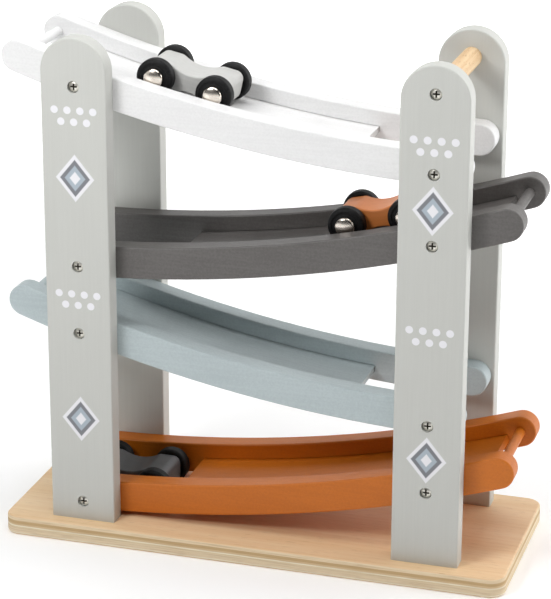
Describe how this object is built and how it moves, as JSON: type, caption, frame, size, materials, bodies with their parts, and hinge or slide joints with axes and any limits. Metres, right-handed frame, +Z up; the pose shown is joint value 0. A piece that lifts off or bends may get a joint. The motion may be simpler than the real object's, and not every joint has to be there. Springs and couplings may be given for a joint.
{
  "type": "click clack car track toy",
  "caption": "Wooden zig-zag car track: curved railed ramps between round-topped uprights on a plywood base, with small cars that roll down and drop from ramp to ramp",
  "frame": {"origin": "on the table under the middle of the base board", "axes": "+X along the ramps towards the low end of the top ramp, -Y towards the printed front, +Z up"},
  "size_m": [0.3146, 0.123, 0.3145],
  "materials": {
    "plywood": "clear lacquered light plywood with its plies showing on the edges",
    "upright_paint": "satin pale grey paint with a small white and grey print on the front",
    "white_paint": "satin white paint",
    "dark_grey_paint": "satin dark grey paint",
    "blue_grey_paint": "satin pale blue grey paint",
    "orange_paint": "satin caramel orange paint",
    "beech": "natural oiled beech",
    "screw_steel": "nickel plated steel",
    "axle_steel": "plain steel rod",
    "chrome": "bright plated pressed caps",
    "wheel_rubber": "matt black rubber",
    "light_grey_car_paint": "satin light grey paint",
    "orange_car_paint": "satin orange paint",
    "dark_grey_car_paint": "satin dark grey paint"
  },
  "bodies": {
    "frame": {"base_board": "plywood", "upright_front_left": "upright_paint", "upright_front_right": "upright_paint", "upright_rear_left": "upright_paint", "upright_rear_right": "upright_paint", "ramp_1_front_rail": "white_paint", "ramp_1_rear_rail": "white_paint", "ramp_1_deck": "white_paint", "ramp_1_dowel": "white_paint", "ramp_2_front_rail": "dark_grey_paint", "ramp_2_rear_rail": "dark_grey_paint", "ramp_2_deck": "dark_grey_paint", "ramp_2_dowel": "dark_grey_paint", "ramp_3_front_rail": "blue_grey_paint", "ramp_3_rear_rail": "blue_grey_paint", "ramp_3_deck": "blue_grey_paint", "ramp_3_dowel": "blue_grey_paint", "ramp_4_front_rail": "orange_paint", "ramp_4_rear_rail": "orange_paint", "ramp_4_deck": "orange_paint", "ramp_4_dowel": "orange_paint", "cross_bar": "beech", "rail_screws": "screw_steel", "cross_bar_screws": "screw_steel", "base_screws": "screw_steel"},
    "car_1": {"car_1_body": "light_grey_car_paint", "car_1_front_axle": "axle_steel", "car_1_rear_axle": "axle_steel", "car_1_front_caps": "chrome", "car_1_rear_caps": "chrome"},
    "car_1_front_left_wheel": {"car_1_front_left_wheel": "wheel_rubber"},
    "car_1_front_right_wheel": {"car_1_front_right_wheel": "wheel_rubber"},
    "car_1_rear_left_wheel": {"car_1_rear_left_wheel": "wheel_rubber"},
    "car_1_rear_right_wheel": {"car_1_rear_right_wheel": "wheel_rubber"},
    "car_2": {"car_2_body": "orange_car_paint", "car_2_front_axle": "axle_steel", "car_2_rear_axle": "axle_steel", "car_2_front_caps": "chrome", "car_2_rear_caps": "chrome"},
    "car_2_front_left_wheel": {"car_2_front_left_wheel": "wheel_rubber"},
    "car_2_front_right_wheel": {"car_2_front_right_wheel": "wheel_rubber"},
    "car_2_rear_left_wheel": {"car_2_rear_left_wheel": "wheel_rubber"},
    "car_2_rear_right_wheel": {"car_2_rear_right_wheel": "wheel_rubber"},
    "car_3": {"car_3_body": "dark_grey_car_paint", "car_3_front_axle": "axle_steel", "car_3_rear_axle": "axle_steel", "car_3_front_caps": "chrome", "car_3_rear_caps": "chrome"},
    "car_3_front_left_wheel": {"car_3_front_left_wheel": "wheel_rubber"},
    "car_3_front_right_wheel": {"car_3_front_right_wheel": "wheel_rubber"},
    "car_3_rear_left_wheel": {"car_3_rear_left_wheel": "wheel_rubber"},
    "car_3_rear_right_wheel": {"car_3_rear_right_wheel": "wheel_rubber"}
  },
  "joints": [
    {"name": "car_1_roll", "type": "hinge", "parent": "frame", "child": "car_1", "pos_m": [0.1345, 0, 1.12325], "axis": [0, -1, 0], "range_deg": [-4.1, 5.9]},
    {"name": "car_1_front_left_spin", "type": "hinge", "parent": "car_1", "child": "car_1_front_left_wheel", "pos_m": [-0.03193, 0.01525, 0.2789], "axis": [0, 1, 0], "continuous": true},
    {"name": "car_1_front_right_spin", "type": "hinge", "parent": "car_1", "child": "car_1_front_right_wheel", "pos_m": [-0.03193, -0.01925, 0.2789], "axis": [0, 1, 0], "continuous": true},
    {"name": "car_1_rear_left_spin", "type": "hinge", "parent": "car_1", "child": "car_1_rear_left_wheel", "pos_m": [-0.06807, 0.01525, 0.28683], "axis": [0, 1, 0], "continuous": true},
    {"name": "car_1_rear_right_spin", "type": "hinge", "parent": "car_1", "child": "car_1_rear_right_wheel", "pos_m": [-0.06807, -0.01925, 0.28683], "axis": [0, 1, 0], "continuous": true},
    {"name": "car_2_roll", "type": "hinge", "parent": "frame", "child": "car_2", "pos_m": [-0.1345, 0, 1.04725], "axis": [0, 1, 0], "range_deg": [-3, 7]},
    {"name": "car_2_front_left_spin", "type": "hinge", "parent": "car_2", "child": "car_2_front_left_wheel", "pos_m": [0.04851, -0.01725, 0.20633], "axis": [0, -1, 0], "continuous": true},
    {"name": "car_2_front_right_spin", "type": "hinge", "parent": "car_2", "child": "car_2_front_right_wheel", "pos_m": [0.04851, 0.01725, 0.20633], "axis": [0, -1, 0], "continuous": true},
    {"name": "car_2_rear_left_spin", "type": "hinge", "parent": "car_2", "child": "car_2_rear_left_wheel", "pos_m": [0.08449, -0.01725, 0.21498], "axis": [0, -1, 0], "continuous": true},
    {"name": "car_2_rear_right_spin", "type": "hinge", "parent": "car_2", "child": "car_2_rear_right_wheel", "pos_m": [0.08449, 0.01725, 0.21498], "axis": [0, -1, 0], "continuous": true},
    {"name": "car_3_roll", "type": "slide", "parent": "frame", "child": "car_3", "axis": [-1, 0, 0], "range_m": [-0.007, 0.043]},
    {"name": "car_3_front_left_spin", "type": "hinge", "parent": "car_3", "child": "car_3_front_left_wheel", "pos_m": [-0.11155, -0.01525, 0.02345], "axis": [0, -1, 0], "continuous": true},
    {"name": "car_3_front_right_spin", "type": "hinge", "parent": "car_3", "child": "car_3_front_right_wheel", "pos_m": [-0.11155, 0.01925, 0.02345], "axis": [0, -1, 0], "continuous": true},
    {"name": "car_3_rear_left_spin", "type": "hinge", "parent": "car_3", "child": "car_3_rear_left_wheel", "pos_m": [-0.07455, -0.01525, 0.02345], "axis": [0, -1, 0], "continuous": true},
    {"name": "car_3_rear_right_spin", "type": "hinge", "parent": "car_3", "child": "car_3_rear_right_wheel", "pos_m": [-0.07455, 0.01925, 0.02345], "axis": [0, -1, 0], "continuous": true}
  ],
  "couplings": [
    {"joint": "car_1_front_left_spin", "follows": "car_1_roll", "ratio": 77.516},
    {"joint": "car_1_front_right_spin", "follows": "car_1_roll", "ratio": 77.516},
    {"joint": "car_1_rear_left_spin", "follows": "car_1_roll", "ratio": 77.516},
    {"joint": "car_1_rear_right_spin", "follows": "car_1_roll", "ratio": 77.516},
    {"joint": "car_2_front_left_spin", "follows": "car_2_roll", "ratio": 77.516},
    {"joint": "car_2_front_right_spin", "follows": "car_2_roll", "ratio": 77.516},
    {"joint": "car_2_rear_left_spin", "follows": "car_2_roll", "ratio": 77.516},
    {"joint": "car_2_rear_right_spin", "follows": "car_2_roll", "ratio": 77.516},
    {"joint": "car_3_front_left_spin", "follows": "car_3_roll", "rad_per_m": 88.889},
    {"joint": "car_3_front_right_spin", "follows": "car_3_roll", "rad_per_m": 88.889},
    {"joint": "car_3_rear_left_spin", "follows": "car_3_roll", "rad_per_m": 88.889},
    {"joint": "car_3_rear_right_spin", "follows": "car_3_roll", "rad_per_m": 88.889}
  ]
}
